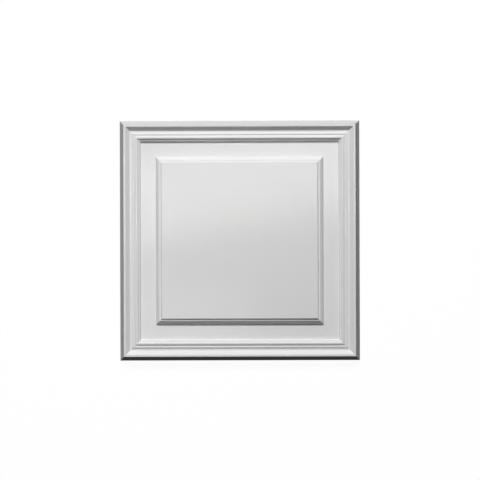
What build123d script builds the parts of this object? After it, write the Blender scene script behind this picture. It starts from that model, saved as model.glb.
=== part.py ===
import os

from build123d import *

# One-piece moulded wall panel, lying on its glue face with the moulded front up.
# Lengths are in millimetres, and levels are heights above the flat back.
PANEL_WIDTH = 550.0
PANEL_HEIGHT = 550.0

# Outer edge: a thin square lip on the wall, then a steep, slightly hollow slope up to the nosing.
LIP_LEVEL = 2.5
EDGE_WIDTH = 9.0
EDGE_HOLLOW = 0.25
NOSING_RADIUS = 2.4

# Outer crest, and the ogee that falls from it into a trough.
CREST_LEVEL = 25.0
CREST_WIDTH = 4.7
CROWN_RADIUS = 2.4
OGEE_WIDTH = 9.3
OGEE_FOOT_RADIUS = 3.0
TROUGH_LEVEL = 16.3
TROUGH_WIDTH = 3.5

# Low ovolo beside the trough, its flat, and the quirk cut behind it.
OVOLO_WIDTH = 3.9
OVOLO_BULGE = 0.1
OVOLO_LEVEL = 18.5
OVOLO_FLAT_WIDTH = 1.9
QUIRK_WIDTH = 0.6
QUIRK_LEVEL = 17.2

# Splay up to the inner crest, a round down to a sloping shelf, and the drop to the field.
SPLAY_WIDTH = 4.7
INNER_CREST_LEVEL = 20.1
INNER_CREST_WIDTH = 2.5
ROUND_WIDTH = 2.5
ROUND_BULGE = 0.6
SHELF_LEVEL = 16.8
SHELF_WIDTH = 3.9
SHELF_EDGE_LEVEL = 15.4
DROP_WIDTH = 1.3

# Recessed field.
FIELD_LEVEL = 10.3
FIELD_WIDTH = 35.0

# Border of the raised centre: a steep riser, a bevel, a flat fillet and a small step.
RISER_WIDTH = 2.9
RISER_LEVEL = 15.9
BEVEL_WIDTH = 5.2
FILLET_LEVEL = 20.5
FILLET_WIDTH = 3.2
STEP_WIDTH = 2.0
PLATEAU_LEVEL = 24.2
RIM_RADIUS = 1.2

# Every other arris and root is softened by the mould and the priming coat.
ARRIS_RADIUS = 0.5

# Corners of the section, X running inward from the outer edge and Y away from the wall.
lip = Vector(0, LIP_LEVEL)
nosing = Vector(EDGE_WIDTH, CREST_LEVEL)
crown = nosing + (CREST_WIDTH, 0)
ogee_foot = Vector(crown.X + OGEE_WIDTH, TROUGH_LEVEL)
ovolo_foot = ogee_foot + (TROUGH_WIDTH, 0)
ovolo_top = Vector(ovolo_foot.X + OVOLO_WIDTH, OVOLO_LEVEL)
quirk_edge = ovolo_top + (OVOLO_FLAT_WIDTH, 0)
quirk = Vector(quirk_edge.X + QUIRK_WIDTH, QUIRK_LEVEL)
splay_top = Vector(quirk.X + SPLAY_WIDTH, INNER_CREST_LEVEL)
round_top = splay_top + (INNER_CREST_WIDTH, 0)
shelf = Vector(round_top.X + ROUND_WIDTH, SHELF_LEVEL)
shelf_edge = Vector(shelf.X + SHELF_WIDTH, SHELF_EDGE_LEVEL)
field_edge = Vector(shelf_edge.X + DROP_WIDTH, FIELD_LEVEL)
riser_foot = field_edge + (FIELD_WIDTH, 0)
riser_top = Vector(riser_foot.X + RISER_WIDTH, RISER_LEVEL)
fillet_edge = Vector(riser_top.X + BEVEL_WIDTH, FILLET_LEVEL)
step_foot = fillet_edge + (FILLET_WIDTH, 0)
rim = Vector(step_foot.X + STEP_WIDTH, PLATEAU_LEVEL)
plateau_start = rim + (RIM_RADIUS, 0)

# Section of the border, from the outer edge to just inside the rim of the raised centre.
with BuildSketch() as section:
    with BuildLine():
        Line((0, 0), lip)
        SagittaArc(lip, nosing, -EDGE_HOLLOW)
        Polyline(nosing, crown, ogee_foot, ovolo_foot)
        SagittaArc(ovolo_foot, ovolo_top, OVOLO_BULGE)
        Polyline(ovolo_top, quirk_edge, quirk, splay_top, round_top)
        SagittaArc(round_top, shelf, ROUND_BULGE)
        Polyline(shelf, shelf_edge, field_edge, riser_foot, riser_top, fillet_edge)
        Polyline(fillet_edge, step_foot, rim, plateau_start)
        Polyline(plateau_start, (plateau_start.X, 0), (0, 0))
    make_face()
    arrises = [lip, ovolo_foot, ovolo_top, quirk_edge, quirk, splay_top, round_top]
    arrises += [shelf, shelf_edge, field_edge, riser_foot, riser_top, fillet_edge, step_foot]
    rounded = [(nosing, NOSING_RADIUS), (crown, CROWN_RADIUS), (ogee_foot, OGEE_FOOT_RADIUS)]
    rounded += [(rim, RIM_RADIUS)] + [(corner, ARRIS_RADIUS) for corner in arrises]
    for corner, radius in rounded:
        fillet(section.vertices().sort_by_distance(corner)[0], radius)


def side(length, depth):
    """The lower side of a panel of this length and depth, mitred at both ends."""
    start = Plane(origin=(-length / 2, -depth / 2, 0), x_dir=(0, 1, 0), z_dir=(1, 0, 0))
    bar = extrude(start * section.sketch, amount=length)
    for sign in (-1, 1):
        corner = (sign * length / 2, -depth / 2, 0)
        mitre = Plane(origin=corner, x_dir=(0, 0, 1), z_dir=(-sign, -1, 0))
        bar = split(bar, bisect_by=mitre, keep=Keep.TOP)
    return bar


# Four lengths of that section meet at the corners, and the raised centre fills them.
long_side = side(PANEL_WIDTH, PANEL_HEIGHT)
upright = Rot(0, 0, 90) * side(PANEL_HEIGHT, PANEL_WIDTH)
half_turn = Rot(0, 0, 180)
border = [long_side, half_turn * long_side, upright, half_turn * upright]
inset = 2 * plateau_start.X
centre = Box(
    PANEL_WIDTH - inset,
    PANEL_HEIGHT - inset,
    PLATEAU_LEVEL,
    align=(Align.CENTER, Align.CENTER, Align.MIN),
)
panel = centre + border

os.makedirs("parts", exist_ok=True)
export_step(panel, "parts/wall_panel.step")
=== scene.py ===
import math

import bpy
from mathutils import Matrix, Vector


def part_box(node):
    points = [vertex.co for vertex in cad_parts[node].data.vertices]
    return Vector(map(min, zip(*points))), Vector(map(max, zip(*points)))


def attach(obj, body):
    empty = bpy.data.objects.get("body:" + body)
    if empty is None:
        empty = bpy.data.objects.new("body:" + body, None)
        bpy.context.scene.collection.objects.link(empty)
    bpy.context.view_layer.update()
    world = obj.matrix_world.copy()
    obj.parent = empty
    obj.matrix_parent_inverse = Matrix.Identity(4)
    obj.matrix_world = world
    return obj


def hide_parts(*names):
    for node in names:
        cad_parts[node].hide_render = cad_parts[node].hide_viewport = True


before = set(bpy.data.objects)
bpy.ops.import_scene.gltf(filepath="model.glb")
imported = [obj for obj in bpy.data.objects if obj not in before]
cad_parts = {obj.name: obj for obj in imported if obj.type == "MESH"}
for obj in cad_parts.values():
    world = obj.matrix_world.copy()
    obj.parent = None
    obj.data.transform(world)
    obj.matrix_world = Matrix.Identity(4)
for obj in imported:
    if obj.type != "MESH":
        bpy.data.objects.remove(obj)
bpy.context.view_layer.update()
stage = bpy.context.scene.collection

# Section of the moulding that frames the panel: one casting of rigid foam, smooth from the mould.
# It runs from the thin lip against the wall, over two crests and the field, to the raised centre.
# Each run is (width inward, level where it ends, rounding there, bow) in millimetres.
MM = 0.001
ARRIS = 0.5
BOW_STEPS = 72
section_runs = {
    "lip": (0.0, 2.5, ARRIS, 0.0),
    "outer edge": (9.0, 25.0, 2.4, -0.25),
    "crest": (4.7, 25.0, 2.4, 0.0),
    "ogee": (9.3, 16.3, 3.0, 0.0),
    "trough": (3.5, 16.3, ARRIS, 0.0),
    "ovolo": (3.9, 18.5, ARRIS, 0.1),
    "ovolo flat": (1.9, 18.5, ARRIS, 0.0),
    "quirk": (0.6, 17.2, ARRIS, 0.0),
    "splay": (4.7, 20.1, ARRIS, 0.0),
    "inner crest": (2.5, 20.1, ARRIS, 0.0),
    "round": (2.5, 16.8, ARRIS, 0.6),
    "shelf": (3.9, 15.4, ARRIS, 0.0),
    "drop": (1.3, 10.3, ARRIS, 0.0),
    "field": (35.0, 10.3, ARRIS, 0.0),
    "riser": (2.9, 15.9, ARRIS, 0.0),
    "bevel": (5.2, 20.5, ARRIS, 0.0),
    "fillet": (3.2, 20.5, ARRIS, 0.0),
    "step": (2.0, 24.2, 1.2, 0.0),
    "rim": (1.2, 24.2, 0.0, 0.0),
}


def bowed_run(start, end, bow):
    """Points after start on the arc to end, whose middle stands off the straight run by bow."""
    if not bow:
        return [end]
    chord = end - start
    radius = (chord.length_squared / 4 + bow * bow) / (2 * bow)
    aside = Vector((-chord.y, chord.x)).normalized()
    centre = (start + end) / 2 + aside * (bow - radius)
    sweep = 2 * math.asin(chord.length / (2 * radius))
    return [centre + Matrix.Rotation(-sweep * k / BOW_STEPS, 2) @ (start - centre)
            for k in range(1, BOW_STEPS + 1)]


section_points = [(Vector((0.0, 0.0)), 0.0)]
inward = 0.0
for width, level, rounding, bow in section_runs.values():
    inward += width
    run = bowed_run(section_points[-1][0], Vector((inward, level)), bow)
    section_points += [(point, 0.0) for point in run[:-1]]
    section_points.append((run[-1], rounding))

section_curve = bpy.data.curves.new("border_section", "CURVE")
section_curve.dimensions = "3D"
section_line = section_curve.splines.new("POLY")
section_line.points.add(len(section_points) - 1)
for point, (place, rounding) in zip(section_line.points, section_points):
    point.co = (place.x * MM, place.y * MM, 0.0, 1.0)
    point.radius = rounding * MM
section_holder = bpy.data.objects.new("border_section", section_curve)
stage.objects.link(section_holder)

# The primer: a satin white coat, sprayed in the mould, so it lies even over every face.
# A fine orange peel and slow waves of the cast face show in its sheen, and the back is bare foam.
COAT_SHADE = (0.785, 0.787, 0.785, 1.0)
COAT_LIGHT = (0.815, 0.814, 0.810, 1.0)
COAT_SHINE = 0.12
COAT_ROUGHNESS = (0.061, 0.073)
BARE_FOAM = (0.72, 0.69, 0.60, 1.0)
BARE_ROUGHNESS = 0.75
BARE_LEVEL = 0.2 * MM
TONE_PATCHES = 11.0
PEEL_GRAINS = 620.0
PEEL_DEPTH = 0.0025 * MM
CAST_WAVES = 7.0
CAST_WAVE_DEPTH = 0.035 * MM
primer = bpy.data.materials.new("primed_white")
primer.use_nodes = True
coat = primer.node_tree.nodes
coat_links = primer.node_tree.links
satin = coat["Principled BSDF"]
satin.inputs["Specular IOR Level"].default_value = COAT_SHINE
position = coat.new("ShaderNodeTexCoord")


def coat_noise(per_metre, detail):
    """Noise over the coat, with so many patches to the metre."""
    noise = coat.new("ShaderNodeTexNoise")
    noise.inputs["Scale"].default_value = per_metre
    noise.inputs["Detail"].default_value = detail
    coat_links.new(position.outputs["Object"], noise.inputs["Vector"])
    return noise.outputs["Fac"]


def coat_relief(pattern, depth):
    """Bump of the coat that follows a pattern, this deep in all."""
    relief = coat.new("ShaderNodeBump")
    relief.inputs["Strength"].default_value = 1.0
    relief.inputs["Distance"].default_value = depth
    coat_links.new(pattern, relief.inputs["Height"])
    return relief


tone = coat.new("ShaderNodeMix")
tone.data_type = "RGBA"
tone.inputs["A"].default_value = COAT_SHADE
tone.inputs["B"].default_value = COAT_LIGHT
coat_links.new(coat_noise(TONE_PATCHES, 4.0), tone.inputs["Factor"])

peel = coat_noise(PEEL_GRAINS, 2.0)
gloss = coat.new("ShaderNodeMapRange")
gloss.inputs["To Min"].default_value, gloss.inputs["To Max"].default_value = COAT_ROUGHNESS
coat_links.new(peel, gloss.inputs["Value"])
waves_relief = coat_relief(coat_noise(CAST_WAVES, 1.0), CAST_WAVE_DEPTH)
peel_relief = coat_relief(peel, PEEL_DEPTH)
coat_links.new(waves_relief.outputs["Normal"], peel_relief.inputs["Normal"])
coat_links.new(peel_relief.outputs["Normal"], satin.inputs["Normal"])

height = coat.new("ShaderNodeSeparateXYZ")
coat_links.new(position.outputs["Object"], height.inputs["Vector"])
bare = coat.new("ShaderNodeMath")
bare.operation = "LESS_THAN"
bare.inputs[1].default_value = BARE_LEVEL
coat_links.new(height.outputs["Z"], bare.inputs[0])
skin = coat.new("ShaderNodeMix")
skin.data_type = "RGBA"
skin.inputs["B"].default_value = BARE_FOAM
coat_links.new(bare.outputs["Value"], skin.inputs["Factor"])
coat_links.new(tone.outputs["Result"], skin.inputs["A"])
coat_links.new(skin.outputs["Result"], satin.inputs["Base Color"])
dull = coat.new("ShaderNodeMix")
dull.inputs["B"].default_value = BARE_ROUGHNESS
coat_links.new(bare.outputs["Value"], dull.inputs["Factor"])
coat_links.new(gloss.outputs["Result"], dull.inputs["A"])
coat_links.new(dull.outputs["Result"], satin.inputs["Roughness"])

# The casting: the section carried round the four sides with mitred corners, closed in one piece
# by the raised centre in front and the flat glue face behind.
low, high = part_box("wall_panel")
ROUNDING_STEPS = 12
FACET_LENGTH = 0.15 * MM
STRAIGHT_REACH = 2
STRAIGHT_TOLERANCE = 1e-7
MITRE_STRETCH = math.sqrt(2)
JOIN_DISTANCE = 1e-6
SHARP_ANGLE = math.radians(40)

casting = bpy.data.node_groups.new("mitred_casting", "GeometryNodeTree")
casting.interface.new_socket("Section", in_out="INPUT", socket_type="NodeSocketGeometry")
casting_sizes = {
    "Panel width": high.x - low.x,
    "Panel height": high.y - low.y,
    "Centre level": section_points[-1][0].y * MM,
    "Centre inset": section_points[-1][0].x * MM,
    "Facet length": FACET_LENGTH,
}
size_sockets = {
    name: casting.interface.new_socket(name, in_out="INPUT", socket_type="NodeSocketFloat")
    for name in casting_sizes
}
casting.interface.new_socket("Panel", in_out="OUTPUT", socket_type="NodeSocketGeometry")
given = casting.nodes.new("NodeGroupInput").outputs


def casting_node(kind, wires=None, values=None, **settings):
    """A node of the casting tree with its settings, its incoming wires and its plain values."""
    node = casting.nodes.new(kind)
    for name, value in settings.items():
        setattr(node, name, value)
    for socket, source in (wires or {}).items():
        casting.links.new(source, node.inputs[socket])
    for socket, value in (values or {}).items():
        node.inputs[socket].default_value = value
    return node


# Corners of the section rounded by their own radius, and points cut out of the straight runs.
corner_radius = casting_node("GeometryNodeInputRadius")
rounded = casting_node(
    "GeometryNodeFilletCurve",
    {"Curve": given["Section"], "Radius": corner_radius.outputs["Radius"]},
    {"Count": ROUNDING_STEPS, "Limit Radius": True},
    mode="POLY",
)
faceted = casting_node(
    "GeometryNodeResampleCurve",
    {"Curve": rounded.outputs["Curve"], "Length": given["Facet length"]},
    mode="LENGTH",
)
here = casting_node("GeometryNodeInputPosition")
index = casting_node("GeometryNodeInputIndex")
neighbours = []
for reach in (-STRAIGHT_REACH, STRAIGHT_REACH):
    other = casting_node("ShaderNodeMath", {0: index.outputs["Index"]}, {1: reach}, operation="ADD")
    neighbours.append(casting_node(
        "GeometryNodeFieldAtIndex",
        {"Index": other.outputs["Value"], "Value": here.outputs["Position"]},
        data_type="FLOAT_VECTOR",
        domain="POINT",
    ).outputs["Value"])
both = casting_node("ShaderNodeVectorMath", {0: neighbours[0], 1: neighbours[1]}, operation="ADD")
middle = casting_node(
    "ShaderNodeVectorMath", {0: both.outputs["Vector"]}, {"Scale": 0.5}, operation="SCALE")
stray = casting_node(
    "ShaderNodeVectorMath",
    {0: middle.outputs["Vector"], 1: here.outputs["Position"]},
    operation="DISTANCE",
)
straight = casting_node(
    "ShaderNodeMath", {0: stray.outputs["Value"]}, {1: STRAIGHT_TOLERANCE}, operation="LESS_THAN")
profile = casting_node(
    "GeometryNodeDeleteGeometry",
    {"Geometry": faceted.outputs["Curve"], "Selection": straight.outputs["Value"]},
    domain="POINT",
)

# The sweep: on the corner diagonals the section is stretched, so its width is true along the sides.
mitred = casting_node(
    "GeometryNodeTransform",
    {"Geometry": profile.outputs["Geometry"]},
    {"Scale": (-MITRE_STRETCH, -1.0, 1.0)},
)
outline = casting_node(
    "GeometryNodeCurvePrimitiveQuadrilateral",
    {"Width": given["Panel width"], "Height": given["Panel height"]},
    mode="RECTANGLE",
)
upright = casting_node(
    "GeometryNodeSetCurveNormal", {"Curve": outline.outputs["Curve"]}, mode="Z_UP")
border = casting_node(
    "GeometryNodeCurveToMesh",
    {"Curve": upright.outputs["Curve"], "Profile Curve": mitred.outputs["Geometry"]},
)

# The raised centre and the glue face close the ring.
margin = casting_node(
    "ShaderNodeMath", {0: given["Centre inset"]}, {1: 2.0}, operation="MULTIPLY")
centre_spans = [
    casting_node(
        "ShaderNodeMath", {0: given[name], 1: margin.outputs["Value"]}, operation="SUBTRACT")
    for name in ("Panel width", "Panel height")
]
centre = casting_node(
    "GeometryNodeMeshGrid",
    {"Size X": centre_spans[0].outputs["Value"], "Size Y": centre_spans[1].outputs["Value"]},
    {"Vertices X": 2, "Vertices Y": 2},
)
centre_lift = casting_node("ShaderNodeCombineXYZ", {"Z": given["Centre level"]})
raised = casting_node(
    "GeometryNodeTransform",
    {"Geometry": centre.outputs["Mesh"], "Translation": centre_lift.outputs["Vector"]},
)
glue_face = casting_node(
    "GeometryNodeMeshGrid",
    {"Size X": given["Panel width"], "Size Y": given["Panel height"]},
    {"Vertices X": 2, "Vertices Y": 2},
)
turned_down = casting_node("GeometryNodeFlipFaces", {"Mesh": glue_face.outputs["Mesh"]})
outward = casting_node("GeometryNodeFlipFaces", {"Mesh": border.outputs["Mesh"]})
pieces = casting_node("GeometryNodeJoinGeometry")
for piece in (outward.outputs["Mesh"], raised.outputs["Geometry"], turned_down.outputs["Mesh"]):
    casting.links.new(piece, pieces.inputs["Geometry"])
closed = casting_node(
    "GeometryNodeMergeByDistance",
    {"Geometry": pieces.outputs["Geometry"]},
    {"Distance": JOIN_DISTANCE},
)

# Round stretches are shaded smooth, and the mitres and hard arrises stay crisp.
smooth = casting_node("GeometryNodeSetShadeSmooth", {"Geometry": closed.outputs["Geometry"]})
ends = casting_node("GeometryNodeInputMeshEdgeVertices")
same_side = casting_node(
    "ShaderNodeVectorMath",
    {0: ends.outputs["Position 1"], 1: ends.outputs["Position 2"]},
    operation="MULTIPLY",
)
signs = casting_node("ShaderNodeSeparateXYZ", {"Vector": same_side.outputs["Vector"]})
nearest = casting_node(
    "ShaderNodeMath", {0: signs.outputs["X"], 1: signs.outputs["Y"]}, operation="MINIMUM")
mitre = casting_node(
    "ShaderNodeMath", {0: nearest.outputs["Value"]}, {1: 0.0}, operation="GREATER_THAN")
bend = casting_node("GeometryNodeInputMeshEdgeAngle")
hard = casting_node(
    "ShaderNodeMath",
    {0: bend.outputs["Unsigned Angle"]},
    {1: SHARP_ANGLE},
    operation="GREATER_THAN",
)
crisp = casting_node(
    "ShaderNodeMath", {0: mitre.outputs["Value"], 1: hard.outputs["Value"]}, operation="MAXIMUM")
shaded = casting_node(
    "GeometryNodeSetShadeSmooth",
    {"Geometry": smooth.outputs["Geometry"], "Selection": crisp.outputs["Value"]},
    {"Shade Smooth": False},
    domain="EDGE",
)
whole = casting_node("GeometryNodeRealizeInstances", {"Geometry": shaded.outputs["Geometry"]})
finished = casting_node(
    "GeometryNodeSetMaterial", {"Geometry": whole.outputs["Geometry"]}, {"Material": primer})
casting_node("NodeGroupOutput", {"Panel": finished.outputs["Geometry"]})

casting_modifier = section_holder.modifiers.new("casting", "NODES")
casting_modifier.node_group = casting
for name, size in casting_sizes.items():
    casting_modifier[size_sockets[name].identifier] = size
evaluated = section_holder.evaluated_get(bpy.context.evaluated_depsgraph_get())
panel_mesh = bpy.data.meshes.new_from_object(evaluated)
section_holder.modifiers.remove(casting_modifier)
bpy.data.objects.remove(section_holder)
panel = bpy.data.objects.new("moulded_panel", panel_mesh)
stage.objects.link(panel)
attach(panel, "root")
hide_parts("wall_panel")

# The floor: a plain sheet just under the glue face of the panel, which lies on it face up.
# The lens sees it white, under the panel's soft shadow. It sends little light back, and is dim in
# the coat's reflections, so that the steep outer edges stay dark.
FLOOR_HALF = 4.0
FLOOR_DROP = 0.5 * MM
SHEET_COLOUR = (0.06, 0.06, 0.06, 1.0)
SHEET_WHITE = 0.955
SHEET_REFLECTED = 0.1
WHITE = (1.0, 1.0, 1.0, 1.0)
floor_mesh = bpy.data.meshes.new("floor")
floor_corners = [
    (x * FLOOR_HALF, y * FLOOR_HALF, -FLOOR_DROP)
    for x, y in ((-1, -1), (1, -1), (1, 1), (-1, 1))
]
floor_mesh.from_pydata(floor_corners, [], [(0, 1, 2, 3)])
floor = bpy.data.objects.new("floor", floor_mesh)
stage.objects.link(floor)
sheet = bpy.data.materials.new("white_sheet")
sheet.use_nodes = True
sheet_nodes = sheet.node_tree.nodes
sheet_links = sheet.node_tree.links
sheet_base = sheet_nodes["Principled BSDF"]
sheet_base.inputs["Base Color"].default_value = SHEET_COLOUR
sheet_base.inputs["Roughness"].default_value = 1.0
sheet_base.inputs["Specular IOR Level"].default_value = 0.0
sheet_base.inputs["Emission Color"].default_value = WHITE


def seen_ray(nodes, links, in_reflections):
    """One for a ray from the lens or through glass, a share of one in reflections, or else zero."""
    ray = nodes.new("ShaderNodeLightPath")
    dimmed = nodes.new("ShaderNodeMath")
    dimmed.operation = "MULTIPLY"
    dimmed.inputs[1].default_value = in_reflections
    links.new(ray.outputs["Is Glossy Ray"], dimmed.inputs[0])
    either = nodes.new("ShaderNodeMath")
    either.operation = "MAXIMUM"
    links.new(ray.outputs["Is Camera Ray"], either.inputs[0])
    links.new(dimmed.outputs["Value"], either.inputs[1])
    seen = nodes.new("ShaderNodeMath")
    seen.operation = "MAXIMUM"
    links.new(either.outputs["Value"], seen.inputs[0])
    links.new(ray.outputs["Is Transmission Ray"], seen.inputs[1])
    return seen.outputs["Value"]


sheet_white = sheet_nodes.new("ShaderNodeMath")
sheet_white.operation = "MULTIPLY"
sheet_white.inputs[1].default_value = SHEET_WHITE
sheet_links.new(seen_ray(sheet_nodes, sheet_links, SHEET_REFLECTED), sheet_white.inputs[0])
sheet_links.new(sheet_white.outputs["Value"], sheet_base.inputs["Emission Strength"])
floor_mesh.materials.append(sheet)

# The studio: a white room behind everything that the lens sees and the coat reflects.
# It gives hardly any light of its own, so the lamps alone shape the relief.
ROOM_GLOW = 0.01
ROOM_REFLECTED = 1.0
room = bpy.data.worlds.new("studio")
bpy.context.scene.world = room
room.use_nodes = True
room_nodes = room.node_tree.nodes
room_links = room.node_tree.links
glow = room_nodes["Background"]
glow.inputs["Color"].default_value = WHITE
backdrop = room_nodes.new("ShaderNodeMath")
backdrop.operation = "MAXIMUM"
backdrop.inputs[1].default_value = ROOM_GLOW
room_links.new(seen_ray(room_nodes, room_links, ROOM_REFLECTED), backdrop.inputs[0])
room_links.new(backdrop.outputs["Value"], glow.inputs["Strength"])

# The lamps: plain rectangular softboxes, one strong and three weak.
# The key lamp rakes the face from beyond the panel's top edge, a little to the left. The coat
# doesn't reflect it, because its glints would burn out on the rounded edges.
KEY_TILT = math.radians(46)
KEY_SWING = math.radians(3)
KEY_DISTANCE = 5.6
KEY_WIDTH, KEY_DEPTH = 3.5, 1.0
KEY_POWER = 312.0


def softbox(name, place, aim, width, depth, power, turn=0.0):
    """A rectangular lamp at a place, facing a point, turned about its own axis."""
    lamp = bpy.data.lights.new(name, "AREA")
    lamp.shape = "RECTANGLE"
    lamp.size = width
    lamp.size_y = depth
    lamp.energy = power
    holder = bpy.data.objects.new(name, lamp)
    stage.objects.link(holder)
    facing = (place - aim).to_track_quat("Z", "Y").to_matrix().to_4x4()
    holder.matrix_world = Matrix.Translation(place) @ facing @ Matrix.Rotation(turn, 4, "Z")
    return holder


panel_middle = Vector((0, 0, 0))
key_place = KEY_DISTANCE * Vector((
    -math.sin(KEY_TILT) * math.sin(KEY_SWING),
    math.sin(KEY_TILT) * math.cos(KEY_SWING),
    math.cos(KEY_TILT),
))
key_lamp = softbox("key_lamp", key_place, panel_middle, KEY_WIDTH, KEY_DEPTH, KEY_POWER)
key_lamp.visible_glossy = False

# The sheen lamp hangs above the lens, and its slanting lower edge shows in the satin face.
SHEEN_TURN = math.radians(9.4)
SHEEN_WIDTH, SHEEN_DEPTH = 1.5, 0.46
SHEEN_POWER = 31.0
sheen_edge = Vector((-0.244, 0.0915, 14.0))
across = Vector((-math.sin(SHEEN_TURN), math.cos(SHEEN_TURN), 0))
sheen_place = sheen_edge + across * (SHEEN_DEPTH / 2)
under_sheen = Vector((sheen_place.x, sheen_place.y, 0))
softbox(
    "sheen_lamp", sheen_place, under_sheen, SHEEN_WIDTH, SHEEN_DEPTH, SHEEN_POWER, SHEEN_TURN)

# A weaker one beside it lifts the sheen in the lower left corner.
LOW_WIDTH, LOW_DEPTH = 0.93, 0.51
LOW_POWER = 10.0
low_place = Vector((-0.67, -0.51, 14.0))
under_low = Vector((low_place.x, low_place.y, 0))
softbox("low_lamp", low_place, under_low, LOW_WIDTH, LOW_DEPTH, LOW_POWER)

# The fill lamp stands close to the left side, opens the shadows a little and fades to the right.
FILL_SIDE = 0.35
FILL_POWER = 0.8
fill_place = Vector((-0.5, 0.0, 0.87))
softbox("fill_lamp", fill_place, panel_middle, FILL_SIDE, FILL_SIDE, FILL_POWER)

# The camera: a long lens high above the panel, looking down on its front.
# It leans one degree to the right of straight above and is turned very slightly off square, so
# that the panel has its size and place in the picture.
IMAGE_SIZE = 480
PANEL_PIXELS = 239.5
SHIFT_PIXELS = (0.2, 0.5)
CAMERA_DISTANCE = 10.0
CAMERA_REACH = 3 * CAMERA_DISTANCE
CAMERA_LEAN = math.radians(1.0)
CAMERA_ROLL = math.radians(0.18)
lens = bpy.data.cameras.new("camera")
lens.sensor_width = 36.0
pixels_per_metre = PANEL_PIXELS / (high.x - low.x)
lens.lens = pixels_per_metre * CAMERA_DISTANCE * lens.sensor_width / IMAGE_SIZE
lens.shift_x, lens.shift_y = (pixels / IMAGE_SIZE for pixels in SHIFT_PIXELS)
lens.clip_end = CAMERA_REACH
camera = bpy.data.objects.new("camera", lens)
stage.objects.link(camera)
stand = Vector((math.sin(CAMERA_LEAN), 0, math.cos(CAMERA_LEAN))) * CAMERA_DISTANCE
lean = Matrix.Rotation(CAMERA_LEAN, 4, "Y") @ Matrix.Rotation(-CAMERA_ROLL, 4, "Z")
camera.matrix_world = Matrix.Translation(stand) @ lean
bpy.context.scene.camera = camera
bpy.context.scene.view_settings.view_transform = "Standard"
